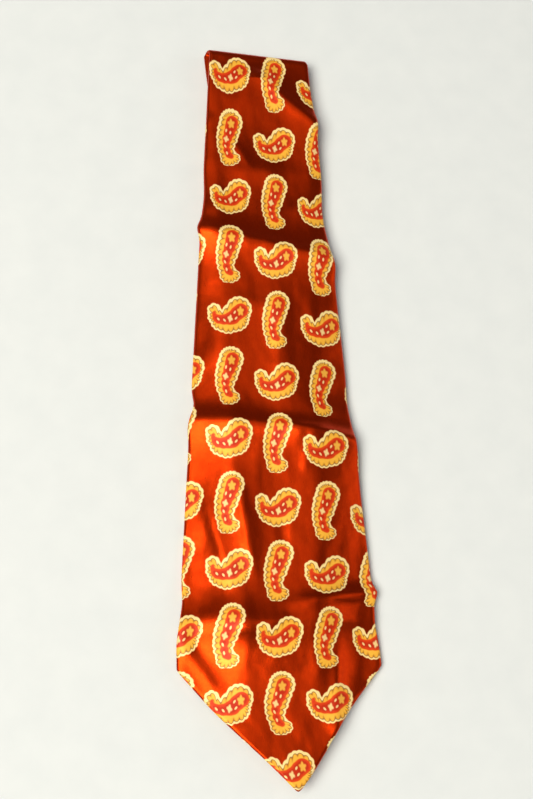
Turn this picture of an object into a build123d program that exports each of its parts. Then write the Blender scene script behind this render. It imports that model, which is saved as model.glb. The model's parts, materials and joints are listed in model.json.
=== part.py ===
from build123d import *
from math import hypot
import os

# A wide silk necktie folded in thirds, lying flat with its wide blade on top, face up.
# Sizes are in millimetres. X runs across the tie, +Y from the wide tip to the top fold, +Z up.
# The origin is the middle of the folded tie's underside.
#
# The tie is drawn laid out straight, as if the two folds were open, along a distance called
# "run" that starts at the wide tip. Each third is then turned under about its fold line,
# as the real tie is folded, so every piece keeps its place in the cloth.

# Lengths of the three thirds, measured along the tie
BLADE_LEG = 420.0
MIDDLE_LEG = 385.0
TAIL_LEG = 380.0
LENGTH = BLADE_LEG + MIDDLE_LEG + TAIL_LEG

# Widths, and the lengths of the two pointed ends
BLADE_WIDTH = 108.0
BLADE_POINT = 62.0
NECK_WIDTH = 34.0
NECK_START = 603.0
NECK_END = 760.0
TAIL_WIDTH = 62.0
TAIL_POINT = 36.0
TIP_ROUNDING = 2.5

# Thicknesses
TIE_THICKNESS = 3.2
SILK = 0.3
LINING = 0.2
INTERLINING = 2.0
LAYER_GAP = 0.4
ROLL_CLEARANCE = 0.05
CUT_CLEARANCE = 0.05

# Insets of the inner pieces from the tie's outline
INTERLINING_INSET = 1.4
TIPPING_INSET = 2.0

# The back: its centre seam, and the windows where the wings part and show the tipping
SEAM_SLIT = 0.5
THREAD = 0.3
BLADE_WINDOW = 150.0
TAIL_WINDOW = 92.0
WINDOW_SIDE = 0.85
WINDOW_HEM = 9.0
TIPPING_OVERLAP = 14.0
TACK_LENGTH = 7.0
TACK_WIDTH = 1.2
LOOP_RADIUS = 2.2
LOOP_DROP = 8.0

# Joins along the tie: two diagonal silk seams, and the seam between the two interlinings
BLADE_JOIN = 560.0
TAIL_JOIN = 775.0
JOIN_ANGLE = 45.0
SEAM_ALLOWANCE = 6.0
INTERLINING_JOIN = 650.0

# Places in the folded tie; the wide tip's rounding shortens it a little
FOLD_RADIUS = TIE_THICKNESS + LAYER_GAP / 2
TIP_SLOPE = hypot(BLADE_POINT, BLADE_WIDTH / 2) / (BLADE_WIDTH / 2)
TIP_LOSS = TIP_ROUNDING * (TIP_SLOPE - 1)
TOP_FOLD_Y = (BLADE_LEG - TIP_LOSS - FOLD_RADIUS) / 2
LOWER_FOLD_Y = TOP_FOLD_Y - MIDDLE_LEG
LAYER_PITCH = TIE_THICKNESS + LAYER_GAP
BACK = 2 * LAYER_PITCH
FACE = BACK + TIE_THICKNESS
TOP_HINGE = Axis((0, TOP_FOLD_Y, BACK - LAYER_GAP / 2), (-1, 0, 0))
LOWER_HINGE = Axis((0, LOWER_FOLD_Y, LAYER_PITCH - LAYER_GAP / 2), (1, 0, 0))

TOP_FOLD = BLADE_LEG
LOWER_FOLD = BLADE_LEG + MIDDLE_LEG
TIP_Y = TOP_FOLD_Y - BLADE_LEG
MARGIN = 20.0
ROOM = 400.0


def half_width(run):
    """Half the tie's width at a distance along it."""
    stations = [
        (0.0, 0.0),
        (BLADE_POINT, BLADE_WIDTH / 2),
        (NECK_START, NECK_WIDTH / 2),
        (NECK_END, NECK_WIDTH / 2),
        (LENGTH - TAIL_POINT, TAIL_WIDTH / 2),
        (LENGTH, 0.0),
    ]
    for (run_a, half_a), (run_b, half_b) in zip(stations, stations[1:]):
        if run <= run_b:
            return half_a + (half_b - half_a) * (run - run_a) / (run_b - run_a)
    return 0.0


def outline(start, end):
    """The tie's flat outline between two distances along it, as a face at z = 0."""
    corners = (BLADE_POINT, NECK_START, NECK_END, LENGTH - TAIL_POINT)
    runs = [start] + [run for run in corners if start < run < end] + [end]
    right = [(half_width(run), TIP_Y + run) for run in runs]
    left = [(-x, y) for x, y in reversed(right) if x > 0]
    shape = make_face(Polyline(*right, *left, close=True))
    tips = [point for point in shape.vertices() if abs(point.X) < 1e-6]
    return fillet(tips, TIP_ROUNDING) if tips else shape


def layer(start, end, low, high, inset=0.0, edge=0.0):
    """A slab of the tie between two heights, cut square where it doesn't end in a point.

    The cuts stop just short of both distances, so that neighbours never overlap.
    """
    shape = outline(max(start - MARGIN, 0.0), min(end + MARGIN, LENGTH))
    if inset:
        shape = offset(shape, amount=-inset, kind=Kind.INTERSECTION)
    slab = Pos(0, 0, low) * extrude(shape, amount=high - low)
    if edge:
        rims = slab.edges().group_by(Axis.Z)
        slab = fillet(rims[0] + rims[-1], edge)
    length = end - start - 2 * CUT_CLEARANCE
    return slab & Pos(0, TIP_Y + (start + end) / 2, BACK) * Box(ROOM, length, ROOM)


def bar(width, start, end, low, high):
    """A straight bar along the tie's centre line."""
    size = (width, end - start, high - low)
    return Pos(0, TIP_Y + (start + end) / 2, (low + high) / 2) * Box(*size)


def window(tip, inward, point, width, top):
    """The opening between the wings behind a pointed end; inward is 1 or -1 along the tie."""
    side = WINDOW_SIDE * width / 2
    side_run = WINDOW_HEM + WINDOW_SIDE * point
    corners = [(0, WINDOW_HEM), (side, side_run), (0, top), (-side, side_run)]
    points = [(x, TIP_Y + tip + inward * run) for x, run in corners]
    shape = make_face(Polyline(*points, close=True))
    return Pos(0, 0, BACK) * extrude(shape, amount=SILK)


def bar_tack(run):
    """The thread bar that locks the end of the back seam, set into the wings."""
    return Pos(0, TIP_Y + run, BACK + SILK / 2) * Box(TACK_LENGTH, TACK_WIDTH, SILK)


def slack_loop(tack_run, outward):
    """The thread's spare loop, which lies in the window beyond a bar tack."""
    height = BACK + SILK / 2
    edge_run = tack_run + outward * TACK_WIDTH / 2
    loop_run = tack_run + outward * LOOP_DROP
    near_run = loop_run - outward * LOOP_RADIUS
    tail_length = abs(near_run - edge_run)
    ring = Pos(0, TIP_Y + loop_run, height) * Torus(LOOP_RADIUS, THREAD / 2)
    stem = Cylinder(THREAD / 2, tail_length, rotation=(90, 0, 0))
    return ring + Pos(0, TIP_Y + (edge_run + near_run) / 2, height) * stem


def seam_thread(start, end):
    """The slip-stitch thread lying in the back seam."""
    stem = Cylinder(THREAD / 2, end - start - 2 * CUT_CLEARANCE, rotation=(90, 0, 0))
    return Pos(0, TIP_Y + (start + end) / 2, BACK + SILK / 2) * stem


def silk_tube(start, end):
    """The folded silk of one third: a flat tube with rolled edges and a slit along its back."""
    roll = TIE_THICKNESS / 2 - ROLL_CLEARANCE
    outside = layer(start, end, BACK, FACE, edge=roll)
    inside = layer(start, end, BACK + SILK, FACE - SILK, inset=SILK, edge=roll - SILK)
    return outside - inside - bar(SEAM_SLIT, start, end, BACK, BACK + SILK)


def interlining(start, end):
    """A stretch of the soft wool inside the silk."""
    middle = (BACK + FACE) / 2
    low = middle - INTERLINING / 2
    return layer(start, end, low, low + INTERLINING, inset=INTERLINING_INSET)


def tipping(start, end):
    """The lining silk behind a pointed end, lying on the inside of the wings."""
    low = BACK + SILK
    return layer(start, end, low, low + LINING, inset=TIPPING_INSET)


def join_plane(run):
    """The upright plane of a diagonal join, facing the narrow tip."""
    return Plane((0, TIP_Y + run, BACK), z_dir=Vector(0, 1, 0).rotate(Axis.Z, -JOIN_ANGLE))


def join_seam(run):
    """The pressed-open seam allowances of a diagonal join, on the inside of the silk's face."""
    reach = 2 * NECK_WIDTH
    high = FACE - SILK
    band = layer(run - reach, run + reach, high - LINING, high, inset=TIPPING_INSET)
    across = join_plane(run)
    strip = Box(ROOM, ROOM, 2 * SEAM_ALLOWANCE)
    return band & (across.location * strip)


def split_at(shape, run):
    """The two parts of a stretch on either side of a diagonal join."""
    across = join_plane(run)
    near = split(shape, bisect_by=across, keep=Keep.BOTTOM)
    far = split(shape, bisect_by=across, keep=Keep.TOP)
    return near, far


def bend(shape, hinge, sense):
    """The half turn of cloth that carries a third's cut end round its fold line.

    sense is 1 where the cloth comes to the fold in the direction of +Y, and -1 otherwise.
    """
    fold_y = hinge.position.Y
    ends = shape.faces().filter_by(Axis.Y).group_by(Axis.Y)[-1 if sense > 0 else 0]
    section = Pos(0, fold_y - ends[0].center().Y, 0) * (Sketch() + ends)
    return revolve(section, axis=hinge, revolution_arc=180)


def turn(shape, hinge):
    """A piece turned under about a fold line."""
    return shape.rotate(hinge, 180)


def under_top_fold(shape):
    return turn(shape, TOP_HINGE)


def under_both_folds(shape):
    return turn(turn(shape, TOP_HINGE), LOWER_HINGE)


def blade_pieces():
    """The wide blade, which lies on top with its face up."""
    tack_run = BLADE_WINDOW + TACK_WIDTH
    tack = bar_tack(tack_run)
    seam_start = tack_run + TACK_WIDTH / 2
    opening = window(0.0, 1, BLADE_POINT, BLADE_WIDTH, BLADE_WINDOW)
    return {
        "wide_blade_silk": silk_tube(0.0, TOP_FOLD) - opening - tack,
        "blade_interlining": interlining(0.0, TOP_FOLD),
        "blade_tipping": tipping(0.0, BLADE_WINDOW + TIPPING_OVERLAP),
        "blade_back_thread": slack_loop(tack_run, -1) + seam_thread(seam_start, TOP_FOLD),
        "blade_bar_tack": tack,
    }


def middle_pieces():
    """The middle third, which lies under the blade with its face down."""
    blade_side, rest = split_at(silk_tube(TOP_FOLD, LOWER_FOLD), BLADE_JOIN)
    neck, tail_side = split_at(rest, TAIL_JOIN)
    straight = {
        "wide_blade_silk_under": blade_side,
        "neck_silk": neck,
        "tail_silk_upper": tail_side,
        "blade_interlining_under": interlining(TOP_FOLD, INTERLINING_JOIN),
        "tail_interlining_upper": interlining(INTERLINING_JOIN, LOWER_FOLD),
        "blade_join_seam": join_seam(BLADE_JOIN),
        "tail_join_seam": join_seam(TAIL_JOIN) & layer(TOP_FOLD, LOWER_FOLD, BACK, FACE),
        "neck_back_thread": seam_thread(TOP_FOLD, LOWER_FOLD),
    }
    return {name: under_top_fold(shape) for name, shape in straight.items()}


def tail_pieces():
    """The narrow tail, which lies at the bottom with its face up."""
    tack_run = LENGTH - TAIL_WINDOW - TACK_WIDTH
    tack = bar_tack(tack_run)
    seam_end = tack_run - TACK_WIDTH / 2
    opening = window(LENGTH, -1, TAIL_POINT, TAIL_WIDTH, TAIL_WINDOW)
    straight = {
        "tail_silk": silk_tube(LOWER_FOLD, LENGTH) - opening - tack,
        "tail_interlining": interlining(LOWER_FOLD, LENGTH),
        "tail_tipping": tipping(LENGTH - TAIL_WINDOW - TIPPING_OVERLAP, LENGTH),
        "tail_back_thread": slack_loop(tack_run, 1) + seam_thread(LOWER_FOLD, seam_end),
        "tail_bar_tack": tack,
    }
    return {name: under_both_folds(shape) for name, shape in straight.items()}


def fold_pieces(blade, middle):
    """The cloth that goes round each fold, turned from the cut ends that it joins."""
    return {
        "top_fold_silk": bend(blade["wide_blade_silk"], TOP_HINGE, 1),
        "top_fold_interlining": bend(blade["blade_interlining"], TOP_HINGE, 1),
        "lower_fold_silk": bend(middle["tail_silk_upper"], LOWER_HINGE, -1),
        "lower_fold_interlining": bend(middle["tail_interlining_upper"], LOWER_HINGE, -1),
    }


blade = blade_pieces()
middle = middle_pieces()
tail = tail_pieces()
folds = fold_pieces(blade, middle)

os.makedirs("parts", exist_ok=True)
for name, shape in {**blade, **middle, **tail, **folds}.items():
    export_step(shape, f"parts/{name}.step")
    print(name, f"{shape.volume:.1f} mm3")
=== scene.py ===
import json
from collections import namedtuple
from math import ceil, cos, exp, log, pi, radians, sin, sqrt

import bmesh
import bpy
from mathutils import Matrix, Vector, noise


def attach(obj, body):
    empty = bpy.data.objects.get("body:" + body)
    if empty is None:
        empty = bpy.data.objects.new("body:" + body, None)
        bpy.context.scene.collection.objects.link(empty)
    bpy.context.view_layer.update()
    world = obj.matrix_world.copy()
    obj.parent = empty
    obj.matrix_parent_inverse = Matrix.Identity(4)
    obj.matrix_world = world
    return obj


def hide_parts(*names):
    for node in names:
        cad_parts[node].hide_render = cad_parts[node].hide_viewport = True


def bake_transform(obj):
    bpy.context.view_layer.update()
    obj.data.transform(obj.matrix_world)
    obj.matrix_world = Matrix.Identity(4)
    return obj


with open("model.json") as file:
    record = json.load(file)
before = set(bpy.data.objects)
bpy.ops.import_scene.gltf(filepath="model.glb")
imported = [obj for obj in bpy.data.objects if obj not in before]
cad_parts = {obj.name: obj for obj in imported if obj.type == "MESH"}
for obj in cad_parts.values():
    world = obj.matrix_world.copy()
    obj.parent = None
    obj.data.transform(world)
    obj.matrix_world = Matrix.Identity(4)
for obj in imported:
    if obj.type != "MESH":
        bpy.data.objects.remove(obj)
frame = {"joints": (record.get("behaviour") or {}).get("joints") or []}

# A silk necktie folded in thirds, lying face up with its wide blade on top.
# Sizes are in millimetres until a mesh or an object is made. A place in the cloth is given by
# x across the tie, "run" along the laid-out tie from the wide tip, and "rise" from the middle
# of the tie's thickness towards its face.

MM = 0.001

for starter in ("Cube", "Light", "Camera"):
    if starter in bpy.data.objects:
        bpy.data.objects.remove(bpy.data.objects[starter])
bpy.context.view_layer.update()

# The tie's own sizes, as it is cut and folded in the CAD model
BLADE_LEG = 420.0
MIDDLE_LEG = 385.0
LENGTH = 1185.0
TOP_FOLD = BLADE_LEG
LOWER_FOLD = BLADE_LEG + MIDDLE_LEG
BLADE_WIDTH = 108.0
BLADE_POINT = 62.0
NECK_WIDTH = 34.0
NECK_START = 603.0
NECK_END = 760.0
TAIL_WIDTH = 62.0
TAIL_POINT = 36.0
BLADE_WINDOW = 150.0
TAIL_WINDOW = 92.0
WINDOW_SIDE = 0.85
WINDOW_HEM = 9.0
WINDOW_BOW = 0.25
TIPPING_OVERLAP = 14.0
BLADE_JOIN = 560.0
TAIL_JOIN = 775.0
INTERLINING_JOIN = 650.0
SEAM_ALLOWANCE = 6.0
CORNER_ROUND = 1.2
TIP_ROUND = 1.5

# How near a diagonal join the rows of cloth take on its slant: in full, and at all
JOIN_NEAR = 4.0
JOIN_FAR = 60.0

# Where the folds and the layers are
JOINTS = {joint["name"]: joint for joint in frame["joints"]}
TOP_HINGE_Y, TOP_HINGE_Z = (value / MM for value in JOINTS["top_fold"]["pos_m"][1:])
LOWER_HINGE_Y, LOWER_HINGE_Z = (value / MM for value in JOINTS["lower_fold"]["pos_m"][1:])
TIP_Y = TOP_HINGE_Y - BLADE_LEG
LAYER_PITCH = TOP_HINGE_Z - LOWER_HINGE_Z
BEND_RADIUS = LAYER_PITCH / 2
TAIL_MIDDLE = LOWER_HINGE_Z - BEND_RADIUS + 0.3
NECK_MIDDLE = LOWER_HINGE_Z + BEND_RADIUS
BLADE_MIDDLE = TOP_HINGE_Z + BEND_RADIUS

# Half thicknesses of the soft layers, and the small steps between their cloths
BLADE_HALF = 1.55
UNDER_HALF = 1.25
WOOL_HALF = 0.6
WOOL_RISE = 0.15
HEM_RISE = 0.28
LAP_RISE = 0.42
LINING_RISE = 0.62
SEAM_DEPTH = 0.22
SEAM_LAP = 1.5
LAP_START = 9.0
LAP_FULL = 3.0
HEM_WIDTH = 5.0
WOOL_INSET = 2.2
LINING_INSET = 2.6
END_ROLL = 1.4 * BLADE_HALF
THREAD_RADIUS = 0.13

# How close together the rows of cloth are, where a tip has more of them, and how far from a
# tip the cloths inside the tie begin
ROW_STEP = 2.4
INNER_STEP = 4.0
SEAM_STEP = 1.6
TIP_ROWS = (0.08, 0.3, 0.7, 1.2, 1.8, 3.4)
TIP_GAP = 4.0

# The fold pieces take in a short straight stretch of each third
TOP_REACH = 15.0
LOWER_REACH = 8.0
BEND_ROWS = 10
TOP_SLANT = -0.11
TOP_SLANT_REACH = 40.0
PEEK_SHIFT = -3.0
PEEK_REACH = 70.0

# The printed pattern: the room that one motif has, and how the rows lie on the blade
COLUMN_PITCH = 26.0
ROW_PITCH = 34.75
ROW_STRETCH = 2750.0
ROWS_PER_STRETCH = 83.33
FIRST_ROW = 0.34
CENTRE_COLUMN = -3.2
CENTRE_DRIFT = 0.0275
ROW_SLOPE = -0.14
ROW_SLOPE_REACH = 220.0
ROWS_TO_SLOPE = 6.3
LEVEL_ROWS = 2.0
ROW_COUNT = 11.0
MOTIF_LEAN = 0.09
FOLD_ROW_SHIFT = 0.1
FOLD_SHIFT_START = 372.0
FOLD_SHIFT_END = 404.0


def smoothstep(low, high, value):
    """0 below low, 1 above high, and a smooth rise between; high may be the smaller one."""
    t = min(max((value - low) / (high - low), 0.0), 1.0)
    return t * t * (3 - 2 * t)


def mix(a, b, share):
    return a + (b - a) * share


def hump(value, centre, reach):
    """A bell of height 1."""
    return exp(-(((value - centre) / reach) ** 2))


def soft_min(a, b, reach):
    """The lower of two values, with the corner between them rounded."""
    share = min(max(0.5 + 0.5 * (b - a) / reach, 0.0), 1.0)
    return mix(b, a, share) - reach * share * (1 - share)


# ---------------------------------------------------------------- the tie's outline


def body_half_width(run):
    """Half the width between the two points, which the points cut into."""
    taper = (BLADE_WIDTH - NECK_WIDTH) / 2 / (NECK_START - BLADE_POINT)
    flare = (TAIL_WIDTH - NECK_WIDTH) / 2 / (LENGTH - TAIL_POINT - NECK_END)
    if run < NECK_START:
        return NECK_WIDTH / 2 + taper * (NECK_START - run)
    return NECK_WIDTH / 2 + flare * max(run - NECK_END, 0.0)


def point_half_width(distance, point, width):
    """Half the width at a distance from a pointed end whose very tip is rounded."""
    distance = max(distance, 0.0)
    grown = distance * (distance + 2 * TIP_ROUND)
    return width / 2 * sqrt(grown / (point * (point + 2 * TIP_ROUND)))


def half_width(run):
    wide = point_half_width(run, BLADE_POINT, BLADE_WIDTH)
    narrow = point_half_width(LENGTH - run, TAIL_POINT, TAIL_WIDTH)
    width = soft_min(body_half_width(run), wide, CORNER_ROUND)
    return max(soft_min(width, narrow, CORNER_ROUND), 0.0)


def window_edge(distance, point, width, apex):
    """How far from the centre line a wing's edge is, at a distance from a pointed end."""
    side = WINDOW_SIDE * width / 2
    side_run = WINDOW_HEM + WINDOW_SIDE * point
    if distance < WINDOW_HEM:
        return 0.0
    if distance < side_run:
        return side * (distance - WINDOW_HEM) / (side_run - WINDOW_HEM)
    share = (apex - distance) / (apex - side_run)
    return side * share * (1 - WINDOW_BOW + WINDOW_BOW * abs(share))


def inner_edge(run):
    """How far from the centre line the wings' inner edges are; below 0 they overlap."""
    wide = window_edge(run, BLADE_POINT, BLADE_WIDTH, BLADE_WINDOW)
    narrow = window_edge(LENGTH - run, TAIL_POINT, TAIL_WIDTH, TAIL_WINDOW)
    return max(wide if run < LENGTH / 2 else narrow, -SEAM_LAP)


def diagonal(run):
    """How much the rows of cloth near a diagonal join follow its slant."""
    if run > TAIL_JOIN:
        return 1 - smoothstep(0.0, LOWER_FOLD - LOWER_REACH - TAIL_JOIN, run - TAIL_JOIN)
    joins = (BLADE_JOIN, TAIL_JOIN)
    return sum(1 - smoothstep(JOIN_NEAR, JOIN_FAR, abs(run - join)) for join in joins)


def end_thickness(run):
    """The share of the tie's thickness left near a tip, where the cloth rolls over."""
    distance = min(run, LENGTH - run) / END_ROLL
    return sqrt(max(1 - (1 - min(max(distance, 0.0), 1.0)) ** 2, 0.0))


# ---------------------------------------------------------------- how the thirds lie

# Creases of the blade. Each is a soft ridge: its middle (x, run), its direction in degrees from
# the x axis, its half length, the reach of its near and far slopes, how round its crest is, and
# its height. The first three go right across, where the tie was once folded smaller for storage.
Crease = namedtuple("Crease", "x run angle half_length near far crest height")
CREASES = [
    Crease(0, 299, -14, 90, 13, 8, 1.8, 4.4),
    Crease(0, 191, -8, 90, 18, 7.5, 1.4, 4.6),
    Crease(-8, 84, 3, 74, 11, 18, 2, 4.6),
    Crease(17, 390, -46, 32, 9, 8, 2, 3.2),
    Crease(-4, 345, 4, 14, 9, 6, 4, 1.8),
    Crease(-36, 88, 4, 22, 6, 14, 1.5, 1.8),
    Crease(-14, 82, 3, 16, 7, 10, 2, 1.4),
    Crease(32, 98, 9, 27, 3.5, 3.5, 0.8, 2.4),
    Crease(28, 187, -12, 24, 5, 4, 0.8, 1.6),
    Crease(32, 201, -6, 22, 6, 16, 3, 1.6),
    Crease(-33, 322, -12, 13, 8, 6, 3, 1.1),
    Crease(3.5, 132, 90, 7, 1.5, 1.5, 1.5, -0.7),
    Crease(-44, 66, -58, 18, 7, 4, 1.2, 2),
    Crease(28, 44, 84, 28, 3, 4, 0.8, 2),
    Crease(-32, 130, 106, 24, 5, 3, 0.8, 2.1),
    Crease(-17, 138, 98, 26, 6, 3, 0.8, 2.3),
    Crease(-10, 168, 84, 16, 2.5, 2.5, 1.2, 0.5),
    Crease(-12, 356, -60, 9, 3, 2, 0.8, 0.8),
    Crease(12, 320, 20, 12, 4, 3, 2, 0.7),
    Crease(-6, 262, -14, 16, 5, 4, 3, 0.6),
    Crease(7, 238, 91, 42, 10, 12, 3, 2.6),
    Crease(4, 233, 88, 10, 1.5, 1.5, 1.5, 0.5),
    Crease(8, 58, 20, 10, 4, 4, 3, -0.8),
    Crease(-24, 18, -49, 20, 2, 2, 1, 0.5),
    Crease(-14, 14, -49, 28, 6, 26, 4, 1.4),
    Crease(40, 146, 90, 34, 10, 28, 6, 3.2),
    Crease(17, 172, 70, 6, 2.5, 1.5, 1, 0.7),
    Crease(-26, 246, 62, 26, 7, 7, 5, 0.9),
    Crease(22, 262, -66, 26, 6, 6, 5, 0.8),
    Crease(7, 126, 96, 24, 5, 5, 4, 0.3),
    Crease(-6, 402, 70, 18, 6, 6, 4, 0.9),
]


def crease_height(crease, x, run):
    angle = radians(crease.angle)
    dx, dy = x - crease.x, run - crease.run
    along = dx * cos(angle) + dy * sin(angle)
    across = dy * cos(angle) - dx * sin(angle)
    reach = crease.far if across > 0 else crease.near
    away = sqrt(across * across + crease.crest * crease.crest) - crease.crest
    return crease.height * exp(-away / reach) * exp(-((along / crease.half_length) ** 4))


# The blade's uneven swells and ripples: height, size across, size along, and layer of noise
SWELL = (0.55, 26.0, 44.0, 3.7)
RIPPLE = (0.17, 8.0, 13.0, 9.2)

# How deep the blade's hollows may be over the layers below, and how much deeper beside them
HOLLOW_DEPTH = 0.5
HOLLOW_DROP = 3.0
HOLLOW_REACH = 12.0
HOLLOW_ROUND = 0.4

# Where the blade flattens out before the top fold
FLAT_START = TOP_FOLD - 15.0
FLAT_END = TOP_FOLD - 2.0

# The point reaches beyond the layers below, and its own stiffness holds it up
TIP_SUPPORT = 21.0


def unevenness(x, run, height, across, along, layer):
    return height * noise.noise(Vector((x / across, run / along, layer)))


def support(run):
    """Half the width of what holds the blade up: the narrower layers that it lies on."""
    gap = BLADE_LEG - MIDDLE_LEG
    if run < gap:
        return TIP_SUPPORT
    return max(half_width(LOWER_FOLD - gap + run), half_width(LOWER_FOLD + gap - run))


def blade_relief(x, run):
    """The blade's ridges and hollows, which flatten out towards the top fold."""
    total = sum(crease_height(crease, x, run) for crease in CREASES)
    height = total + unevenness(x, run, *SWELL) + unevenness(x, run, *RIPPLE)
    edge = support(run)
    deepest = HOLLOW_DEPTH + HOLLOW_DROP * smoothstep(edge, edge + HOLLOW_REACH, abs(x))
    height = -soft_min(-height, deepest, HOLLOW_ROUND)
    return height * smoothstep(FLAT_END, FLAT_START, run)


# Where the blade's two edges stand out or in: run, reach, shift outwards
Nudge = namedtuple("Nudge", "run reach shift")
RIGHT_EDGE = [
    Nudge(402, 14, -0.4),
    Nudge(377, 7, 1.3),
    Nudge(318, 18, -2.2),
    Nudge(287, 7, 1.2),
    Nudge(205, 12, -1.2),
    Nudge(178, 10, 1),
    Nudge(100, 4, 2.2),
    Nudge(84, 8, -1),
]
LEFT_EDGE = [
    Nudge(309, 5, 2),
    Nudge(330, 12, -1),
    Nudge(205, 6, -1.6),
    Nudge(192, 7, 1),
    Nudge(97, 8, -1),
    Nudge(75, 8, 0.8),
]
EDGE_START = 0.35
TIP_LEAN = 6.2
TIP_LEAN_REACH = 46.0


def blade_shift(x, run):
    """How far the blade's cloth is pushed across, at its edges and at its tip."""
    side = 1 if x > 0 else -1
    nudges = RIGHT_EDGE if x > 0 else LEFT_EDGE
    width = max(half_width(run), 1.0)
    share = smoothstep(EDGE_START, 1.0, abs(x) / width)
    out = sum(nudge.shift * hump(run, nudge.run, nudge.reach) for nudge in nudges)
    return side * share * out + TIP_LEAN * smoothstep(TIP_LEAN_REACH, 0.0, run)


# How the blade droops beside the layers below: how far in that starts, how wide it is, how
# softly it bends, and the share that is left near the stiff point and near the top fold
DROOP_START = 2.0
DROOP_REACH = 27.0
DROOP_SOFTNESS = 0.6
TIP_STIFFNESS = 0.35
STIFF_START = 30.0
STIFF_END = 72.0
DROOP_FADE_START = TOP_FOLD - 45.0
DROOP_FADE_END = TOP_FOLD - 10.0


def blade_droop(x, run):
    """How far the blade hangs down beside the narrower layers that it lies on."""
    share = min(max((abs(x) - support(run) + DROOP_START) / DROOP_REACH, 0.0), 1.0)
    drop = 2 * LAYER_PITCH * mix(share, smoothstep(0.0, 1.0, share), DROOP_SOFTNESS)
    drop *= mix(TIP_STIFFNESS, 1.0, smoothstep(STIFF_START, STIFF_END, run))
    return drop * smoothstep(DROOP_FADE_END, DROOP_FADE_START, run)


# Slight waves of the lower layers: height, and length along the tie and across it
LAYER_WAVES = ((0.14, 29.0, 21.0), (0.08, 11.0, -9.0))
WAVE_FADE = 30.0


def under_wave(x, run):
    """The slight waves of the thirds that lie between other layers."""
    wave = sum(height * sin(run / along + x / across) for height, along, across in LAYER_WAVES)
    from_lower = smoothstep(0.0, WAVE_FADE, abs(run - LOWER_FOLD))
    from_top = smoothstep(0.0, WAVE_FADE, run - TOP_FOLD)
    return wave * (from_lower * from_top)


def slant(x, run):
    """The top fold isn't square to the tie: its left end lies further up."""
    return TOP_SLANT * x * smoothstep(TOP_SLANT_REACH, 0.0, abs(run - TOP_FOLD))


def on_blade(x, run, rise):
    z = BLADE_MIDDLE - blade_droop(x, run) + blade_relief(x, run) + rise
    return x + blade_shift(x, run), TIP_Y + run + slant(x, run), z


def on_middle(x, run, rise):
    shift = PEEK_SHIFT * smoothstep(PEEK_REACH, 0.0, run - TOP_FOLD)
    z = NECK_MIDDLE + under_wave(x, run) - rise
    return x + shift, TOP_HINGE_Y - (run - TOP_FOLD) + slant(x, run), z


def on_tail(x, run, rise):
    z = TAIL_MIDDLE + under_wave(x, run) + rise
    return x, LOWER_HINGE_Y + (run - LOWER_FOLD), z


def in_top_bend(x, angle, rise):
    """The half turn of the top fold: the tie's face is on its outside."""
    start_x = on_blade(x, TOP_FOLD, rise)[0]
    end_x = on_middle(x, TOP_FOLD, rise)[0]
    radius = BEND_RADIUS + rise
    y = TOP_HINGE_Y + radius * sin(angle) + slant(x, TOP_FOLD)
    return mix(start_x, end_x, angle / pi), y, TOP_HINGE_Z + radius * cos(angle)


def in_lower_bend(x, angle, rise):
    """The half turn of the lower fold: the tie's back is on its outside."""
    radius = mix(BEND_RADIUS, LOWER_HINGE_Z - TAIL_MIDDLE, angle / pi) - rise
    return x, LOWER_HINGE_Y - radius * sin(angle), LOWER_HINGE_Z + radius * cos(angle)


# A row of a strip: where it lies, its run (a bend's own fold line there), a bend's angle,
# and the tie's half thickness
Station = namedtuple("Station", "place run angle half")


def straight_stations(place, start, end, half, step=ROW_STEP):
    """Rows from one run to another, closer together near a tip or a diagonal join."""
    count = max(2, ceil(abs(end - start) / step))
    runs = [mix(start, end, i / count) for i in range(count + 1)]
    for tip, inward in ((0.0, 1), (LENGTH, -1)):
        if tip in (start, end):
            runs += [tip + inward * extra for extra in TIP_ROWS]
    runs = sorted(set(runs), reverse=end < start)
    return [Station(place, run, None, half) for run in runs]


def bend_stations(place, run, half_start, half_end):
    shares = [i / BEND_ROWS for i in range(BEND_ROWS + 1)]
    return [Station(place, run, pi * share, mix(half_start, half_end, share))
            for share in shares]


def put(station, x, rise, run):
    """A point of a strip, in millimetres."""
    where = run if station.angle is None else station.angle
    return Vector(station.place(x, where, rise))


# ---------------------------------------------------------------- strips of cloth

# A place across a strip: which part of the cloth it is in, which side, and how far along it
Column = namedtuple("Column", "zone side t")

# The steepest edges of the points that the print follows, and the taper that it leaves out
STEEPEST = 0.9
TAPER = 0.1

# The most of the tie's half width that a roll, a wing or a hem may take up
ROLL_SHARE = 0.9
WING_SHARE = 0.97
HEM_SHARE = 0.7
WOOL_EDGE_POWER = 12


def even(count, start=0.0, end=1.0):
    return [mix(start, end, i / count) for i in range(count + 1)]


def silk_columns(face_count, wing_count):
    """The places across folded silk: hem, wing and rolled edge on the right, face, then left."""
    right = [Column("hem", 1, t) for t in even(2, 1.0, 0.0)]
    right += [Column("wing", 1, t) for t in even(wing_count, 1.0, 0.0)]
    right += [Column("roll", 1, t) for t in even(8, 1.0, 0.0)[1:-1]]
    face = [Column("face", 0, t) for t in even(face_count, 1.0, -1.0)]
    left = [Column(column.zone, -1, column.t) for column in reversed(right)]
    return right + face + left


def edge_slope(run):
    """How fast the tie widens at its points; its long taper between them is left out."""
    slope = half_width(run + 0.5) - half_width(run - 0.5)
    return min(max(slope, -STEEPEST), STEEPEST) if abs(slope) > TAPER else 0.0


def turned(x, beyond, slope):
    """Where cloth that has been folded over a slanted edge lies when it is flat.

    Returns its distance across, and how much further along the tie it is."""
    reach = beyond / (1 + slope * slope)
    return x + reach, -slope * reach


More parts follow.
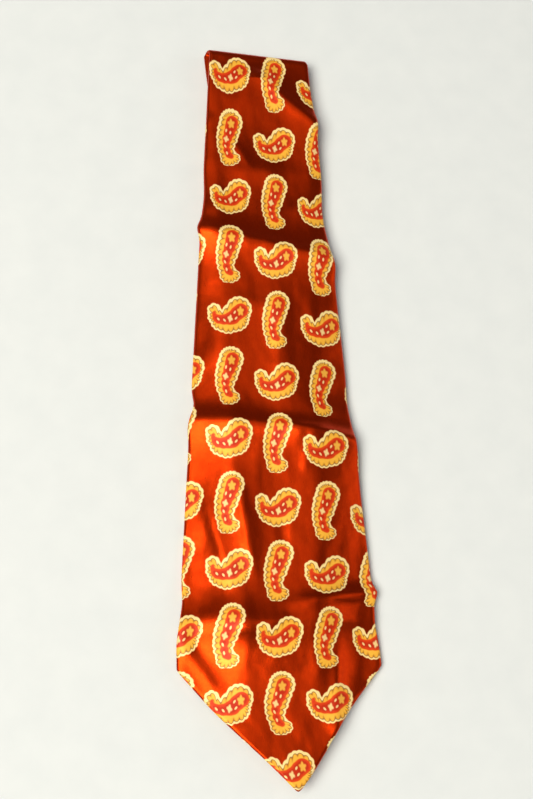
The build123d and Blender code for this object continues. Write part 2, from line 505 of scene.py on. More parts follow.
def silk_point(column, run, half):
    """x and rise of a place in the folded silk, and its place across and along the flat cloth."""
    width = half_width(run)
    half = half * end_thickness(run)
    roll = min(half, width * ROLL_SHARE)
    core = width - roll
    slope = edge_slope(run)
    if column.zone == "face":
        return column.t * core, half, column.t * core, 0.0
    if column.zone == "roll":
        angle = column.t * pi
        x = core + roll * sin(angle)
        across, along = turned(core, roll * angle, slope)
        return column.side * x, half * cos(angle), column.side * across, along
    inner = min(inner_edge(run), core * WING_SHARE)
    x = mix(core, inner, column.t)
    rise = -half
    flat_x = x
    if column.zone == "hem":
        x = inner + min(HEM_WIDTH, (core - inner) * HEM_SHARE) * column.t
        rise += HEM_RISE * end_thickness(run)
        flat_x = 2 * inner - x
    if column.side < 0:
        rise += LAP_RISE * smoothstep(LAP_START, LAP_FULL, x) * smoothstep(0.5, -0.5, inner)
    across, along = turned(flat_x, roll * pi + 2 * (core - flat_x), slope)
    return column.side * x, rise, column.side * across, along


def lining_point(column, run, half):
    """A place across the tipping, which lies on the inside of the wings."""
    x = column.t * max(half_width(run) - LINING_INSET, 0.1)
    return x, (LINING_RISE - half) * end_thickness(run), x, 0.0


def wool_point(column, run, half):
    """A place round the interlining, a thin soft slab between the silk's face and back."""
    x = column.t * max(half_width(run) - WOOL_INSET, 0.1)
    edge = sqrt(max(1 - abs(column.t) ** WOOL_EDGE_POWER, 0.0))
    thin = WOOL_HALF * edge * end_thickness(run)
    return x, (WOOL_RISE + column.side * thin) * (half / BLADE_HALF), x, 0.0


def seam_point(column, run, half):
    """A place across a diagonal join's allowances, just under the silk's face."""
    x = column.t * max(half_width(run) - LINING_INSET, 0.1)
    return x, half - SEAM_DEPTH, x, 0.0


def wool_columns(count):
    ring = even(count, -1.0, 1.0)
    above = [Column("wool", 1, t) for t in ring]
    below = [Column("wool", -1, t) for t in reversed(ring[1:-1])]
    return above + below


def row_points(station, columns, point):
    """Each column's x, rise and run, and its place across and along the flat cloth.

    Near a diagonal join the row has the join's slant."""
    row = []
    follow = diagonal(station.run) if station.angle is None else 0.0
    for column in columns:
        run = station.run
        x, rise, across, along = point(column, run, station.half)
        for _ in range(3 if follow else 0):
            run = station.run - follow * x
            x, rise, across, along = point(column, run, station.half)
        row.append((x, rise, run, across, run + along))
    return row


def folds_before(station):
    """How many folds the cloth has gone round by a row, in whole folds and a share."""
    if station.angle is None:
        return (station.run > TOP_FOLD) + (station.run > LOWER_FOLD)
    return (station.run > TOP_FOLD) + station.angle / pi


def add_object(name, data):
    thing = bpy.data.objects.new(name, data)
    bpy.context.scene.collection.objects.link(thing)
    return thing


def strip(name, stations, columns, point, pattern=None, closed=False):
    """A mesh over rows and columns; pattern gives the printed cloth's UV coordinates."""
    mesh = bmesh.new()
    uv_layer = mesh.loops.layers.uv.new("cloth")
    grid = []
    marks = {}
    for station in stations:
        row = row_points(station, columns, point)
        places = [put(station, x, rise, run) for x, rise, run, _, _ in row]
        vertices = [mesh.verts.new(place * MM) for place in places]
        travel = pi * BEND_RADIUS * folds_before(station)
        for vertex, (_, _, _, across, along) in zip(vertices, row):
            marks[vertex] = (across, along + travel)
        grid.append(vertices)
    last = len(columns) if closed else len(columns) - 1
    for low, high in zip(grid, grid[1:]):
        for i in range(last):
            j = (i + 1) % len(columns)
            face = mesh.faces.new((low[i], low[j], high[j], high[i]))
            face.smooth = True
            for loop in face.loops:
                across, along = marks[loop.vert]
                loop[uv_layer].uv = pattern(across, along) if pattern else (across / 10, along / 10)
    if closed:
        for vertices in (grid[0], grid[-1]):
            mesh.faces.new(vertices)
    bmesh.ops.remove_doubles(mesh, verts=mesh.verts, dist=2e-6)
    bmesh.ops.dissolve_degenerate(mesh, edges=mesh.edges, dist=1e-6)
    bmesh.ops.recalc_face_normals(mesh, faces=mesh.faces)
    data = bpy.data.meshes.new(name)
    mesh.to_mesh(data)
    mesh.free()
    return add_object(name, data)


# ---------------------------------------------------------------- the printed pattern


def blade_pattern(across, run):
    """Column and row numbers of the print on the blade, whose motifs sit at whole numbers."""
    column = (across - CENTRE_COLUMN - CENTRE_DRIFT * run) / COLUMN_PITCH
    slope = ROW_SLOPE * smoothstep(0.0, ROW_SLOPE_REACH, run)
    level = run - slope * column * COLUMN_PITCH
    row = ROWS_PER_STRETCH * log(1 + max(level, -100.0) / ROW_STRETCH) - FIRST_ROW
    return column, row - FOLD_ROW_SHIFT * smoothstep(FOLD_SHIFT_START, FOLD_SHIFT_END, run)


def level_pattern(first_column, first_row):
    """The print of a panel whose rows lie square to the tie."""
    def pattern(across, run):
        return across / COLUMN_PITCH + first_column, run / ROW_PITCH + first_row

    return pattern


neck_pattern = level_pattern(0.35, 0.2)
tail_pattern = level_pattern(-0.15, 0.55)


class Nodes:
    """Adds nodes to a new material and links them; a value is a number, a tuple or a socket."""

    def __init__(self, name):
        self.material = bpy.data.materials.new(name)
        self.material.use_nodes = True
        self.tree = self.material.node_tree
        self.shader = self.tree.nodes["Principled BSDF"]

    def add(self, kind, values, **settings):
        node = self.tree.nodes.new(kind)
        for name, value in settings.items():
            setattr(node, name, value)
        for key, value in values.items():
            self.feed(node.inputs[key], value)
        return node

    def feed(self, socket, value):
        if isinstance(value, bpy.types.NodeSocket):
            self.tree.links.new(value, socket)
        else:
            socket.default_value = value

    def math(self, operation, *values, clamp=False):
        node = self.add("ShaderNodeMath", dict(enumerate(values)), operation=operation)
        node.use_clamp = clamp
        return node.outputs[0]

    def vector(self, operation, *values):
        node = self.add("ShaderNodeVectorMath", dict(enumerate(values)), operation=operation)
        return node.outputs["Value" if operation in ("DISTANCE", "LENGTH") else "Vector"]

    def join(self, x, y):
        return self.add("ShaderNodeCombineXYZ", {0: x, 1: y}).outputs[0]

    def parts(self, vector):
        return self.add("ShaderNodeSeparateXYZ", {0: vector}).outputs[:2]

    def blend(self, share, first, second):
        """A mix of two numbers."""
        node = self.add("ShaderNodeMix", {0: share, 2: first, 3: second})
        return node.outputs[0]

    def tint(self, share, first, second):
        """A mix of two colours."""
        node = self.add("ShaderNodeMix", {0: share, 6: first, 7: second}, data_type="RGBA")
        return node.outputs[2]

    def noise(self, vector, scale, detail=2.0):
        values = {"Vector": vector, "Scale": scale, "Detail": detail}
        return self.add("ShaderNodeTexNoise", values).outputs["Fac"]

    def cloth_uv(self):
        return self.add("ShaderNodeUVMap", {}, uv_map="cloth").outputs[0]

    def bump(self, height, strength, distance, under=None):
        """A bumpy normal, laid over another one if there is one."""
        values = {"Height": height, "Strength": strength, "Distance": distance}
        if under:
            values["Normal"] = under
        return self.add("ShaderNodeBump", values).outputs[0]

    def surface(self, **values):
        for name, value in values.items():
            self.feed(self.shader.inputs[name.replace("_", " ")], value)


def colour(red, green, blue):
    """A shader colour from 0 to 255 display values."""
    linear = [(value / 255) ** 2.2 for value in (red, green, blue)]
    return (*linear, 1.0)


# The two motifs, in millimetres about each motif's middle. Body and heart are circles
# (x, y, radius) melted together, seeds are (x, y, degrees), and the star and the cross are
# (x, y, half width, half height). The short one lies across the tie, the long one stands.
SHORT_BODY = [(5.0, 4.0, 7.3), (2.5, -0.5, 8.3), (-1.5, -3.0, 6.9), (-5.0, -2.2, 6.0),
              (-7.8, 0.8, 4.7), (-8.9, 4.5, 3.7)]
SHORT_HEART = [(6.2, 3.2, 3.7), (4.0, 1.6, 3.7), (1.5, -0.7, 3.6), (-0.5, -1.4, 3.2),
               (-3.5, -1.8, 2.7), (-6.2, -1.4, 2.3), (-7.8, -0.3, 1.7), (-8.8, 1.6, 0.9),
               (-8.8, 3.0, 0.5)]
SHORT_SEEDS = [(2.6, 2.2, 60), (3.2, -1.1, 50), (-3.3, -2.2, 125), (-6.7, -1.2, 125)]
SHORT_STAR = (5.9, 2.8, 1.9, 2.7)
SHORT_CROSS = (-0.1, -1.3, 1.4, 2.1)
SHORT_PLACE = (0.5, -2.0, 0.0)
LONG_BODY = [(1.6, 8.8, 6.9), (0.0, 4.4, 6.8), (-1.3, 0.0, 6.4), (-2.4, -4.4, 5.4),
             (-2.5, -8.0, 4.8), (-1.2, -12.6, 5.1), (1.8, -13.0, 3.6)]
LONG_HEART = [(2.3, 8.7, 3.3), (1.5, 6.0, 3.3), (0.2, 2.6, 3.0), (-1.3, -0.8, 2.6),
              (-2.1, -4.4, 2.1), (-2.0, -8.0, 1.9), (-1.2, -10.6, 1.7), (0.2, -11.7, 1.2)]
LONG_SEEDS = [(-1.5, 4.0, 75), (0.8, 2.7, 75), (-2.8, -5.4, 110), (-2.1, -9.6, 100)]
LONG_STAR = (1.7, 7.9, 2.1, 2.7)
LONG_CROSS = (-1.9, -1.1, 1.5, 1.9)

SCALLOP = 2.9
SCALLOP_DEPTH = 0.45
OUTLINE_WIDTH = 1.4
OUTLINE_SHIFT = 0.035
LINE_WIDTH = 0.5
PRINT_BLUR = 0.45
PETAL_DEPTH = 0.17
SEED_LENGTH = 0.95
SEED_SLIMNESS = 1.9


def melted(nodes, point, circles, softness):
    """The distance from the edge of a shape made of circles, negative inside it."""
    field = None
    for x, y, radius in circles:
        edge = nodes.math("SUBTRACT", nodes.vector("DISTANCE", point, (x, y, 0)), radius)
        field = edge if field is None else nodes.math("SMOOTH_MIN", field, edge, softness)
    return field


def inside(nodes, field, level=0.0, blur=PRINT_BLUR):
    """1 where a distance is below a level, 0 beyond it."""
    return nodes.math("MULTIPLY_ADD", field, -1 / blur, 0.5 + level / blur, clamp=True)


def scallops(nodes, along, across, half_length, turns):
    """Round lobes, from 0 to 1, that run along a long shape's sides and round its ends."""
    held = nodes.math("MAXIMUM", nodes.math("MINIMUM", along, half_length), -half_length)
    beyond = nodes.math("SUBTRACT", along, held)
    angle = nodes.math("ARCTAN2", beyond, across)
    side = nodes.math("MULTIPLY", nodes.math("SIGN", across), held)
    straight = nodes.math("MULTIPLY", side, 2 * pi / SCALLOP)
    phase = nodes.math("MULTIPLY_ADD", angle, turns, straight)
    return nodes.math("ABSOLUTE", nodes.math("COSINE", nodes.math("MULTIPLY", phase, 0.5)))


def petals(nodes, point, shape, count, turn=0.0):
    """The distance from the edge of a flower, in shares of its size."""
    x, y, wide, tall = shape
    local = nodes.vector("SUBTRACT", point, (x, y, 0))
    local = nodes.vector("MULTIPLY", local, (1 / wide, 1 / tall, 0))
    across, up = nodes.parts(local)
    angle = nodes.math("ARCTAN2", up, across)
    wave = nodes.math("COSINE", nodes.math("MULTIPLY_ADD", angle, count, turn))
    radius = nodes.math("MULTIPLY_ADD", wave, PETAL_DEPTH, 1 - PETAL_DEPTH)
    return nodes.math("SUBTRACT", nodes.vector("LENGTH", local), radius)


def seeds(nodes, point, places):
    """Small slanted seeds, as a mask."""
    total = None
    for x, y, degrees in places:
        angle = radians(degrees)
        across, up = nodes.parts(nodes.vector("SUBTRACT", point, (x, y, 0)))
        along = nodes.math("MULTIPLY", across, cos(angle))
        along = nodes.math("MULTIPLY_ADD", up, sin(angle), along)
        aside = nodes.math("MULTIPLY", across, -sin(angle))
        aside = nodes.math("MULTIPLY_ADD", up, cos(angle), aside)
        oval = nodes.join(along, nodes.math("MULTIPLY", aside, SEED_SLIMNESS))
        mask = inside(nodes, nodes.vector("LENGTH", oval), SEED_LENGTH, 0.6)
        total = mask if total is None else nodes.math("MAXIMUM", total, mask)
    return total


def motif_masks(nodes, point, body, heart, places, star, cross, along_x):
    """Masks of one motif's colours, and the shading of its ruffled band."""
    x, y = nodes.parts(point)
    if along_x:
        wave = scallops(nodes, x, y, 2 * SCALLOP, 16)
    else:
        wave = scallops(nodes, y, x, 4 * SCALLOP, 14)
    lobes = nodes.math("SUBTRACT", 0.6, wave)
    field = melted(nodes, point, body, 1.0)
    waved = nodes.math("MULTIPLY_ADD", lobes, SCALLOP_DEPTH, field)
    outline = inside(nodes, waved)
    width = nodes.math("MULTIPLY_ADD", y, OUTLINE_SHIFT, OUTLINE_WIDTH)
    line_edge = nodes.math("MULTIPLY_ADD", lobes, 0.3, nodes.math("ADD", waved, width))
    dark = inside(nodes, nodes.math("ABSOLUTE", line_edge), LINE_WIDTH / 2)
    gold = inside(nodes, line_edge)
    core = melted(nodes, point, heart, 1.3)
    red = inside(nodes, core, 0.3, 0.6)
    deep = inside(nodes, core, -0.9, 1.0)
    marks = seeds(nodes, point, places)
    marks = nodes.math("MAXIMUM", marks, inside(nodes, petals(nodes, point, cross, 4, 1.2), 0, 0.5))
    flower = inside(nodes, petals(nodes, point, star, 5, -pi / 2), 0, 0.4)
    near_line = inside(nodes, nodes.math("MULTIPLY", line_edge, -1.0), 1.1, 1.4)
    ruffle = nodes.math("MULTIPLY", nodes.math("SUBTRACT", 1.1, wave), near_line)
    return [outline, dark, gold, red, deep, marks, flower, ruffle]


def print_masks(nodes, uv):
    """The masks of both motifs, which take turns in the cells of a staggered lattice."""
    cell = nodes.vector("FLOOR", nodes.vector("ADD", uv, (0.5, 0.5, 0)))
    local = nodes.vector("SUBTRACT", uv, cell)
    local = nodes.vector("MULTIPLY", local, (COLUMN_PITCH, ROW_PITCH, 0))
    x, y = nodes.parts(local)
    column, row = nodes.parts(cell)
    slope_range = {"Value": row, "From Max": ROWS_TO_SLOPE, "To Max": ROW_SLOPE}
    slope = nodes.add("ShaderNodeMapRange", slope_range, interpolation_type="SMOOTHSTEP").outputs[0]
    lean_range = {"Value": row, "From Min": LEVEL_ROWS, "From Max": ROW_COUNT, "To Max": MOTIF_LEAN}
    lean = nodes.add("ShaderNodeMapRange", lean_range).outputs[0]
    point = nodes.join(nodes.math("MULTIPLY_ADD", y, lean, x),
                       nodes.math("MULTIPLY_ADD", x, slope, y))
    parity = nodes.math("FLOORED_MODULO", nodes.math("ADD", column, row), 2.0)
    is_long = nodes.math("GREATER_THAN", parity, 0.5)
    lowered = nodes.vector("SUBTRACT", point, SHORT_PLACE)
    short = motif_masks(nodes, lowered, SHORT_BODY, SHORT_HEART, SHORT_SEEDS, SHORT_STAR,
                        SHORT_CROSS, True)
    long = motif_masks(nodes, point, LONG_BODY, LONG_HEART, LONG_SEEDS, LONG_STAR,
                       LONG_CROSS, False)
    return [nodes.blend(is_long, a, b) for a, b in zip(short, long)]


def silk_satin():
    """Printed satin: paisley motifs in staggered rows on a rust ground."""
    nodes = Nodes("printed_satin")
    uv = nodes.cloth_uv()
    outline, dark, gold, red, deep, marks, flower, ruffle = print_masks(nodes, uv)

    threads = nodes.vector("MULTIPLY", uv, (COLUMN_PITCH, ROW_PITCH, 1))
    lengthwise = nodes.vector("MULTIPLY", threads, (3.2, 0.35, 1))
    crosswise = nodes.vector("MULTIPLY", threads, (0.35, 3.2, 1))
    streaks = nodes.noise(lengthwise, 1.0, 3.0)
    slubs = nodes.noise(crosswise, 1.0, 2.0)
    cloudy = nodes.noise(threads, 0.05, 3.0)
    flecks = nodes.noise(threads, 0.45, 4.0)
    crinkle = nodes.noise(nodes.vector("MULTIPLY", threads, (0.11, 0.07, 1)), 1.0, 1.0)

    ground = nodes.tint(streaks, colour(178, 45, 5), colour(214, 67, 13))
    ground = nodes.tint(nodes.math("MULTIPLY", flecks, 0.5), ground, colour(164, 36, 4))
    ground = nodes.tint(nodes.math("MULTIPLY", cloudy, 0.5), ground, colour(172, 40, 4))
    gold_tone = nodes.tint(slubs, colour(236, 162, 50), colour(252, 192, 72))
    gold_tone = nodes.tint(nodes.math("MULTIPLY", ruffle, 0.9), gold_tone, colour(160, 84, 20))
    cream = nodes.tint(slubs, colour(242, 206, 138), colour(255, 228, 158))
    red_tone = nodes.tint(streaks, colour(206, 52, 14), colour(226, 70, 24))
    look = nodes.tint(outline, ground, cream)
    look = nodes.tint(gold, look, gold_tone)
    look = nodes.tint(nodes.math("MULTIPLY", dark, 0.75), look, colour(118, 64, 26))
    look = nodes.tint(red, look, red_tone)
    look = nodes.tint(nodes.math("MULTIPLY", deep, 0.6), look, colour(168, 26, 6))
    look = nodes.tint(nodes.math("MULTIPLY", marks, 0.85), look, cream)
    look = nodes.tint(nodes.math("MULTIPLY", flower, 0.9), look, colour(240, 178, 70))

    weave = nodes.math("MULTIPLY", slubs, 0.3)
    weave = nodes.math("MULTIPLY_ADD", streaks, 0.7, weave)
    rough = nodes.math("MULTIPLY_ADD", streaks, 0.10, 0.20)
    rough = nodes.math("MULTIPLY_ADD", flecks, 0.12, rough)
    rough = nodes.blend(outline, rough, 0.46)
    metal = nodes.blend(outline, 0.90, 0.15)
    creased = nodes.bump(crinkle, 1.0, 0.0004)
    woven = nodes.bump(weave, 0.2, 0.0002, creased)
    nodes.surface(Base_Color=look, Roughness=rough, Metallic=metal, Normal=woven)
    nodes.shader.inputs["Specular IOR Level"].default_value = 0.2
    return nodes.material


def lining_silk():
    """Plain lining silk, with a fine crosswise rib."""
    nodes = Nodes("lining_silk")
    uv = nodes.cloth_uv()
    ribs = nodes.noise(nodes.vector("MULTIPLY", uv, (4.0, 60.0, 1)), 1.0)
    cloud = nodes.noise(uv, 0.8)
    tone = nodes.tint(ribs, colour(150, 62, 26), colour(178, 84, 40))
    tone = nodes.tint(nodes.math("MULTIPLY", cloud, 0.4), tone, colour(138, 52, 20))
    rough = nodes.math("MULTIPLY_ADD", ribs, 0.12, 0.38)
    ribbed = nodes.bump(ribs, 0.3, 0.0003)
    nodes.surface(Base_Color=tone, Roughness=rough, Metallic=0.25, Normal=ribbed)
    return nodes.material


def wool():
    """The interlining's brushed, loosely woven wool."""
    nodes = Nodes("brushed_wool")
    uv = nodes.cloth_uv()
    warp = nodes.noise(nodes.vector("MULTIPLY", uv, (30.0, 6.0, 1)), 1.0)
    weft = nodes.noise(nodes.vector("MULTIPLY", uv, (6.0, 30.0, 1)), 1.0)
    nap = nodes.math("MULTIPLY", warp, weft)
    tone = nodes.tint(nap, colour(196, 186, 164), colour(236, 228, 208))
    nodes.surface(Base_Color=tone, Roughness=0.95, Normal=nodes.bump(nap, 0.8, 0.0006))
    nodes.shader.inputs["Sheen Weight"].default_value = 0.3
    return nodes.material


def sewing_thread():
    """Twisted sewing thread."""
    nodes = Nodes("sewing_thread")
    place = nodes.add("ShaderNodeTexCoord", {}).outputs["Object"]
    wave = {"Vector": place, "Scale": 900.0, "Distortion": 2.0}
    twist = nodes.add("ShaderNodeTexWave", wave, bands_direction="DIAGONAL").outputs["Fac"]
    tone = nodes.tint(twist, colour(120, 30, 10), colour(170, 56, 24))
    nodes.surface(Base_Color=tone, Roughness=0.6, Normal=nodes.bump(twist, 0.5, 0.0001))
    return nodes.material


# ---------------------------------------------------------------- pieces


def finish_piece(piece, material, slot, *nodes):
    piece.data.materials.append(material)
    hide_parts(*nodes)
    return piece


SATIN = silk_satin()
LINING = lining_silk()
WOOL = wool()
THREAD = sewing_thread()

BLADE_COLUMNS = silk_columns(46, 12)
UNDER_COLUMNS = silk_columns(20, 8)
WOOL_COLUMNS = wool_columns(40)
LINING_COLUMNS = [Column("lining", 0, t) for t in even(46, -1.0, 1.0)]
SEAM_COLUMNS = [Column("seam", 0, t) for t in even(12, -1.0, 1.0)]


def flat_size(stations, widths):
    """The widest width, the length and the area of a flat cloth that has these widths."""
    steps = [abs(a.run - b.run) if a.angle is None or b.angle is None
             else pi * BEND_RADIUS / BEND_ROWS for a, b in zip(stations, stations[1:])]
    area = sum(step * (a + b) / 2 for step, a, b in zip(steps, widths, widths[1:]))
    return max(widths), sum(steps), area


def silk_cut_width(station):
    """The width of the silk that is folded into the tie at a row: face, rolls, wings and hems."""
    width = half_width(station.run)
    wing = width - inner_edge(station.run) + HEM_WIDTH
    return 2 * (width + pi * station.half + wing)


def silk_piece(name, stations, columns, pattern):
    piece = strip(name + "_cloth", stations, columns, silk_point, pattern)
    finish_piece(piece, SATIN, "silk_satin", name)
    width, length, area = flat_size(stations, [silk_cut_width(station) for station in stations])
    return piece


def wool_piece(name, stations):
    piece = strip(name + "_wool", stations, WOOL_COLUMNS, wool_point, closed=True)
    finish_piece(piece, WOOL, "wool_interlining", name)
    widths = [2 * (half_width(station.run) - WOOL_INSET) for station in stations]
    width, length, area = flat_size(stations, widths)
    return piece


def lining_piece(name, stations):
    piece = strip(name + "_cloth", stations, LINING_COLUMNS, lining_point)
    finish_piece(piece, LINING, "lining_silk", name)
    widths = [2 * max(half_width(station.run) - LINING_INSET, 0.1) for station in stations]
    width, length, area = flat_size(stations, widths)
    return piece


def seam_piece(name, join):
    """The two pressed-open allowances of a diagonal join, on the inside of the silk's face."""
    reach = SEAM_ALLOWANCE * sqrt(2)
    stations = [Station(on_middle, join + offset, None, UNDER_HALF)
                for offset in even(8, -reach, reach)]
    piece = strip(name + "_cloth", stations, SEAM_COLUMNS, seam_point, neck_pattern)
    finish_piece(piece, SATIN, "seam_allowance", name)
    width = 2 * (half_width(join) - LINING_INSET) * sqrt(2)
    return piece


THREAD_SIDES = 6


def tube(points):
    """Vertices and faces of a round thread along points."""
    vertices, faces = [], []
    for index, point in enumerate(points):
        before = points[max(index - 1, 0)]
        after = points[min(index + 1, len(points) - 1)]
        ahead = (after - before).normalized()
        aside = ahead.cross(Vector((0, 0, 1)))
        if aside.length < 1e-6:
            aside = Vector((1, 0, 0))
        aside.normalize()
        up = aside.cross(ahead)
        for side in range(THREAD_SIDES):
            angle = 2 * pi * side / THREAD_SIDES
            vertices.append(point + THREAD_RADIUS * (aside * cos(angle) + up * sin(angle)))
    for index in range(len(points) - 1):
        for side in range(THREAD_SIDES):
            a = index * THREAD_SIDES + side
            b = index * THREAD_SIDES + (side + 1) % THREAD_SIDES
            faces.append((a, b, b + THREAD_SIDES, a + THREAD_SIDES))
    faces.append(tuple(reversed(range(THREAD_SIDES))))
    faces.append(tuple(range(len(vertices) - THREAD_SIDES, len(vertices))))
    return vertices, faces


def threads_piece(name, paths, node):
    """One piece of several runs of thread."""
    vertices, faces = [], []
    for path in paths:
        more_vertices, more_faces = tube(path)
        faces += [tuple(index + len(vertices) for index in face) for face in more_faces]
        vertices += more_vertices
    data = bpy.data.meshes.new(name)
    data.from_pydata([vertex * MM for vertex in vertices], [], faces)
    data.polygons.foreach_set("use_smooth", [True] * len(data.polygons))
    return finish_piece(add_object(name, data), THREAD, "sewing_thread", node)


# Slip stitches: how far apart they are, how far each runs along and across the lap's edge, how
# deep it sinks and bulges, and the angle between the turns of their unevenness
STITCH = 7.0
STITCH_RUN = 1.32
STITCH_REACH = 0.9
STITCH_LIFT = 0.02
STITCH_BULGE = 0.1
STITCH_TURN = 2.4


def slip_stitches(place, start, end, half):
    """The back seam's slip stitches: short slanted threads that show along the lap's edge."""
    paths = []
    count = int(abs(end - start) / STITCH)
    for index in range(count):
        run = mix(start, end, (index + 0.5) / count)
        reach = STITCH_REACH * (0.9 + 0.1 * sin(index * STITCH_TURN))
        points = []
        for t in even(6):
            x = -SEAM_LAP + mix(reach, -reach, t)
            rise = -half - STITCH_LIFT - STITCH_BULGE * sin(pi * t)
            points.append(Vector(place(x, run + STITCH_RUN * (t - 0.5), rise)))
        paths.append(points)
    return paths


# The slack loop: its half width and half length, how far its middle is from the tack, and its turns
LOOP_WIDE = 2.1
LOOP_LONG = 2.0
LOOP_OUT = 5.6
LOOP_TURNS = 1.05
LOOP_START = -0.27


def slack_loop(place, tack, outward, half):
    """The spare loop of thread that lies in the window beyond a bar tack."""
    points = []
    for t in even(28):
        angle = 2 * pi * (t * LOOP_TURNS + LOOP_START)
        spread = smoothstep(0.0, 0.12, t) * smoothstep(1.0, 0.9, t)
        out = LOOP_OUT * smoothstep(0, 0.2, t) * smoothstep(1, 0.8, t)
        run = tack + outward * (0.4 + out + LOOP_LONG * sin(angle) * spread)
        points.append(Vector(place(LOOP_WIDE * cos(angle) * spread, run, -half - 0.04 - 0.08 * t)))
    return [points]


# A bar tack: how many threads wrap it, half their spread and reach, and half the bar's length
TACK_WRAPS = 16
TACK_SPREAD = 3.2
TACK_REACH = 0.6
TACK_BAR = 3.4


def tack_bar(place, tack, half):
    """A bar tack: threads wrapped closely round a short bar across the end of the seam."""
    paths = []
    for x in even(TACK_WRAPS - 1, -TACK_SPREAD, TACK_SPREAD):
        points = []
        for t in even(6):
            run = tack + mix(-TACK_REACH, TACK_REACH, t)
            rise = -half - 0.04 - 0.16 * sin(pi * t)
            points.append(Vector(place(x + 0.12 * (t - 0.5), run, rise)))
        paths.append(points)
    bar = [Vector(place(x, tack, -half - 0.08)) for x in even(10, -TACK_BAR, TACK_BAR)]
    return paths + [bar]


# How far a bar tack is beyond its window, and how far the first stitch is beyond the tack
TACK_GAP = 1.2
FIRST_STITCH = 6.0


def ride_all(body, *pieces):
    for piece in pieces:
        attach(piece, body)


def blade_pieces():
    end = TOP_FOLD - TOP_REACH
    rows = straight_stations(on_blade, 0.0, end, BLADE_HALF)
    lining_end = BLADE_WINDOW + TIPPING_OVERLAP
    lining_rows = straight_stations(on_blade, TIP_GAP, lining_end, BLADE_HALF)
    wool_rows = straight_stations(on_blade, TIP_GAP, end, BLADE_HALF)
    tack = BLADE_WINDOW + TACK_GAP
    thread = slip_stitches(on_blade, tack + FIRST_STITCH, end, BLADE_HALF)
    thread += slack_loop(on_blade, tack, -1, BLADE_HALF)
    ride_all(
        "blade",
        silk_piece("wide_blade_silk", rows, BLADE_COLUMNS, blade_pattern),
        wool_piece("blade_interlining", wool_rows),
        lining_piece("blade_tipping", lining_rows),
        threads_piece("blade_back_stitches", thread, "blade_back_thread"),
        threads_piece("blade_tack_threads", tack_bar(on_blade, tack, BLADE_HALF), "blade_bar_tack"),
    )


def middle_pieces():
    start = TOP_FOLD + TOP_REACH
    end = LOWER_FOLD - LOWER_REACH

    def rows(first, last, step=ROW_STEP):
        return straight_stations(on_middle, first, last, UNDER_HALF, step)

    under = silk_piece("wide_blade_silk_under", rows(start, BLADE_JOIN), UNDER_COLUMNS,
                       blade_pattern)
    neck = silk_piece("neck_silk", rows(BLADE_JOIN, TAIL_JOIN), UNDER_COLUMNS, neck_pattern)
    upper_rows = rows(TAIL_JOIN, end, SEAM_STEP)
    upper = silk_piece("tail_silk_upper", upper_rows, UNDER_COLUMNS, tail_pattern)
    thread = slip_stitches(on_middle, start, end, UNDER_HALF)
    ride_all(
        "middle",
        under,
        neck,
        upper,
        wool_piece("blade_interlining_under", rows(start, INTERLINING_JOIN, INNER_STEP)),
        wool_piece("tail_interlining_upper", rows(INTERLINING_JOIN, end, INNER_STEP)),
        seam_piece("blade_join_seam", BLADE_JOIN),
        seam_piece("tail_join_seam", TAIL_JOIN),
        threads_piece("neck_back_stitches", thread, "neck_back_thread"),
    )


def tail_pieces():
    start = LOWER_FOLD + LOWER_REACH
    end = LENGTH - TIP_GAP
    rows = straight_stations(on_tail, start, LENGTH, UNDER_HALF)
    lining_start = LENGTH - TAIL_WINDOW - TIPPING_OVERLAP
    lining_rows = straight_stations(on_tail, lining_start, end, UNDER_HALF, INNER_STEP)
    wool_rows = straight_stations(on_tail, start, end, UNDER_HALF, INNER_STEP)
    tack = LENGTH - TAIL_WINDOW - TACK_GAP
    thread = slip_stitches(on_tail, start, tack - FIRST_STITCH, UNDER_HALF)
    thread += slack_loop(on_tail, tack, 1, UNDER_HALF)
    ride_all(
        "tail",
        silk_piece("tail_silk", rows, UNDER_COLUMNS, tail_pattern),
        wool_piece("tail_interlining", wool_rows),
        lining_piece("tail_tipping", lining_rows),
        threads_piece("tail_back_stitches", thread, "tail_back_thread"),
        threads_piece("tail_tack_threads", tack_bar(on_tail, tack, UNDER_HALF), "tail_bar_tack"),
    )


def fold_pieces():
    """The cloth that goes round the two folds, bending between the thirds on either side."""
    top_rows = straight_stations(on_blade, TOP_FOLD - TOP_REACH, TOP_FOLD, BLADE_HALF)[:-1]
    top_rows += bend_stations(in_top_bend, TOP_FOLD, BLADE_HALF, UNDER_HALF)
    top_rows += straight_stations(on_middle, TOP_FOLD, TOP_FOLD + TOP_REACH, UNDER_HALF)[1:]
    low_rows = straight_stations(on_middle, LOWER_FOLD - LOWER_REACH, LOWER_FOLD, UNDER_HALF)[:-1]
    low_rows += bend_stations(in_lower_bend, LOWER_FOLD, UNDER_HALF, UNDER_HALF)
    low_rows += straight_stations(on_tail, LOWER_FOLD, LOWER_FOLD + LOWER_REACH, UNDER_HALF)[1:]
    for piece in (
        silk_piece("top_fold_silk", top_rows, BLADE_COLUMNS, blade_pattern),
        wool_piece("top_fold_interlining", top_rows),
    ):
        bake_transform(piece)
    for piece in (
        silk_piece("lower_fold_silk", low_rows, UNDER_COLUMNS, tail_pattern),
        wool_piece("lower_fold_interlining", low_rows),
    ):
        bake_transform(piece)


# ---------------------------------------------------------------- floor, light and camera


def floor():
    size = 4.0
    data = bpy.data.meshes.new("floor")
    corners = [(-size, -size, 0), (size, -size, 0), (size, size, 0), (-size, size, 0)]
    data.from_pydata(corners, [], [(0, 1, 2, 3)])
    ground = add_object("floor", data)
    nodes = Nodes("pale_floor")
    place = nodes.add("ShaderNodeTexCoord", {}).outputs["Object"]
    grain = nodes.noise(place, 60.0, 4.0)
    tone = nodes.tint(grain, colour(214, 217, 222), colour(224, 226, 230))
    nodes.surface(Base_Color=tone, Roughness=0.9)
    data.materials.append(nodes.material)


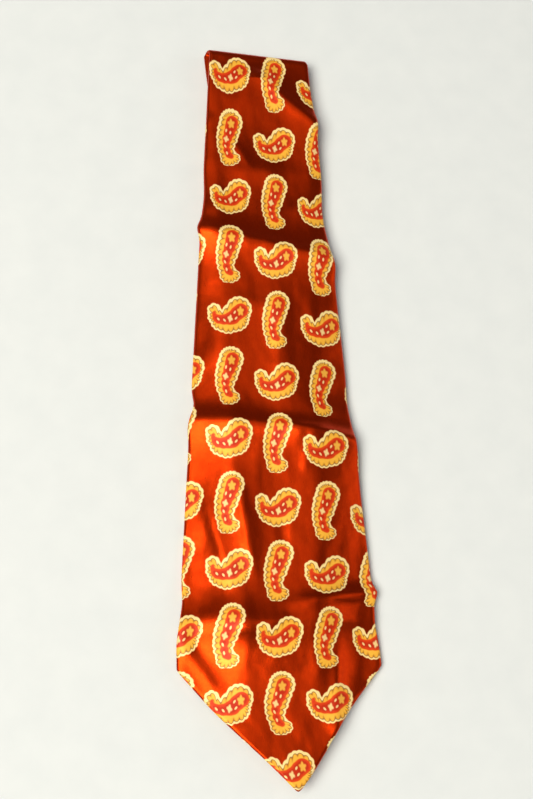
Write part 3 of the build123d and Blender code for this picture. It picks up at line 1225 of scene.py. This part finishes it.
def area_light(name, place, target, size, power, tint):
    data = bpy.data.lights.new(name, "AREA")
    data.shape = "RECTANGLE"
    data.size, data.size_y = size
    data.energy = power
    data.color = tint
    lamp = add_object(name, data)
    lamp.location = place
    aim = Vector(target) - Vector(place)
    lamp.rotation_euler = aim.to_track_quat("-Z", "Y").to_euler()


def studio():
    """A bright panel to the left, a broad dim one overhead and a low one to the right.

    The air behind them is pale near the floor and dark above, as in a curved studio."""
    middle = (0, 0, 0)
    area_light("key", (-1.32, -0.68, 2.5), middle, (2.0, 1.8), 108.0, (1.0, 0.98, 0.84))
    area_light("overhead", (-0.5, 0.9, 3.0), (0, 0.5, 0), (2.0, 3.0), 13.0, (1.0, 0.97, 0.93))
    area_light("side", (2.9, 0.2, 1.7), middle, (1.4, 1.8), 13.0, (1.0, 0.95, 0.9))
    world = bpy.data.worlds.new("studio_air")
    world.use_nodes = True
    tree = world.node_tree
    background = tree.nodes["Background"]
    background.inputs["Color"].default_value = (0.94, 0.95, 1.0, 1.0)
    height = tree.nodes.new("ShaderNodeSeparateXYZ")
    fall = tree.nodes.new("ShaderNodeMapRange")
    fall.interpolation_type = "SMOOTHSTEP"
    for name, value in (("From Max", 0.32), ("To Min", 0.75), ("To Max", 0.06)):
        fall.inputs[name].default_value = value
    tree.links.new(tree.nodes.new("ShaderNodeTexCoord").outputs["Generated"], height.inputs[0])
    tree.links.new(height.outputs["Z"], fall.inputs["Value"])
    tree.links.new(fall.outputs[0], background.inputs["Strength"])
    bpy.context.scene.world = world
    bpy.context.scene.view_settings.view_transform = "Standard"


def camera():
    """The camera looks down the tie from beyond its tip, turned and rolled a little."""
    place = Vector((-0.07924, -0.21575, 0.68793))
    pitch, yaw, roll = radians(71.75), radians(20.0), radians(18.9)
    ahead = Vector((sin(yaw) * cos(pitch), cos(yaw) * cos(pitch), -sin(pitch)))
    right = Vector((cos(yaw), -sin(yaw), 0))
    up = right.cross(ahead)
    rolled_right = cos(roll) * right + sin(roll) * up
    rolled_up = cos(roll) * up - sin(roll) * right
    turn = Matrix((rolled_right, rolled_up, -ahead)).transposed().to_4x4()
    data = bpy.data.cameras.new("camera")
    data.lens = 58.57
    data.sensor_width = 36.0
    data.clip_start = 0.01
    view = add_object("camera", data)
    view.matrix_world = Matrix.Translation(place) @ turn
    bpy.context.scene.camera = view


camera()
floor()
studio()
blade_pieces()
middle_pieces()
tail_pieces()
fold_pieces()
